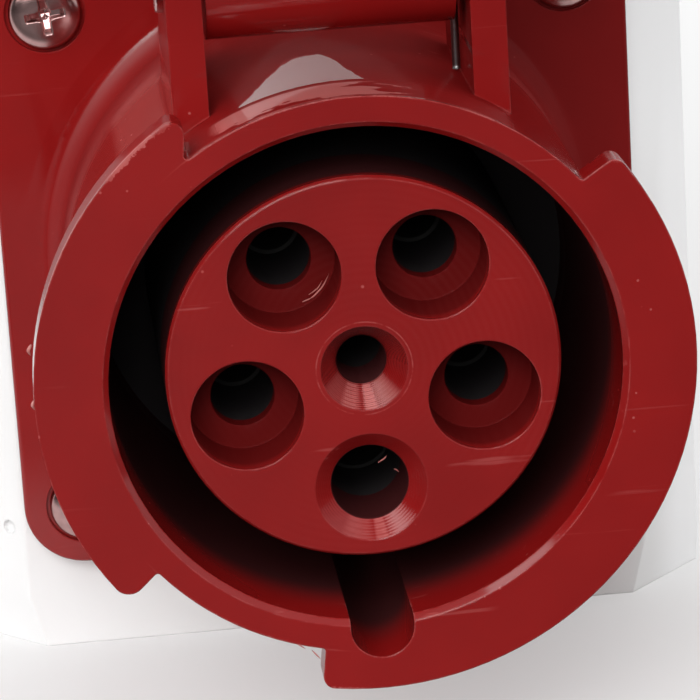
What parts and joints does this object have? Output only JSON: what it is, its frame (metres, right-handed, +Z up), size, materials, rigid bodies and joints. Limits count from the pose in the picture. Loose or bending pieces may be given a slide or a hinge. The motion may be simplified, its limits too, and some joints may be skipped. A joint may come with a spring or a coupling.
{
  "type": "industrial wall socket",
  "caption": "Wall socket for industrial plugs: a notched round barrel with pin contacts around a pilot, a hinged lid with a turning lock ring, and a surface box with a cable gland.",
  "frame": {"origin": "where the axis of the barrel meets the wall plane, on the back face of the box", "axes": "+Y goes into the wall and the plug goes in along +Y, +Z is up, +X is to the right for someone who faces the socket"},
  "size_m": [0.122, 0.1978, 0.2227],
  "materials": {
    "red_plastic": "moulded red plastic, semi-gloss with fine scratches",
    "insert_red": "moulded red plastic, semi-gloss",
    "white_plastic": "white moulded plastic, fine grain",
    "grey_plastic": "light grey moulded plastic",
    "black_plastic": "black moulded plastic",
    "seal_rubber": "soft black rubber",
    "bright_steel": "nickel-plated steel",
    "contact_brass": "machined brass"
  },
  "bodies": {
    "housing": {"back_box": "white_plastic", "box_cover": "white_plastic", "rim_seal": "seal_rubber", "cover_screws": "bright_steel", "flange_gasket": "seal_rubber", "socket_body": "red_plastic", "flange_screws": "bright_steel", "contact_carrier": "insert_red", "carrier_core": "black_plastic", "carrier_back": "black_plastic", "carrier_screws": "bright_steel", "line_contact_1": "contact_brass", "line_contact_2": "contact_brass", "line_contact_3": "contact_brass", "neutral_contact": "contact_brass", "earth_contact": "contact_brass", "pilot_contact": "contact_brass", "contact_rings": "bright_steel", "terminal_screws": "bright_steel", "gland_washer": "seal_rubber", "gland_body": "grey_plastic", "gland_seal": "seal_rubber", "gland_nut": "grey_plastic", "gland_locknut": "grey_plastic", "hinge_pin": "bright_steel", "pin_clip": "bright_steel", "lid_spring": "bright_steel"},
    "lid": {"lid": "red_plastic", "lid_seal": "seal_rubber", "snap_ring": "bright_steel"},
    "lock_ring": {"lock_ring": "red_plastic"}
  },
  "joints": [
    {"name": "lid_hinge", "type": "hinge", "parent": "housing", "child": "lid", "pos_m": [0, -0.1105, 0.0535], "axis": [1, 0, 0], "range_deg": [0, 120]},
    {"name": "ring_turn", "type": "hinge", "parent": "lid", "child": "lock_ring", "pos_m": [0, -0.14483, 0.10103], "axis": [0, -0.5, -0.866], "range_deg": [0, 37]}
  ]
}
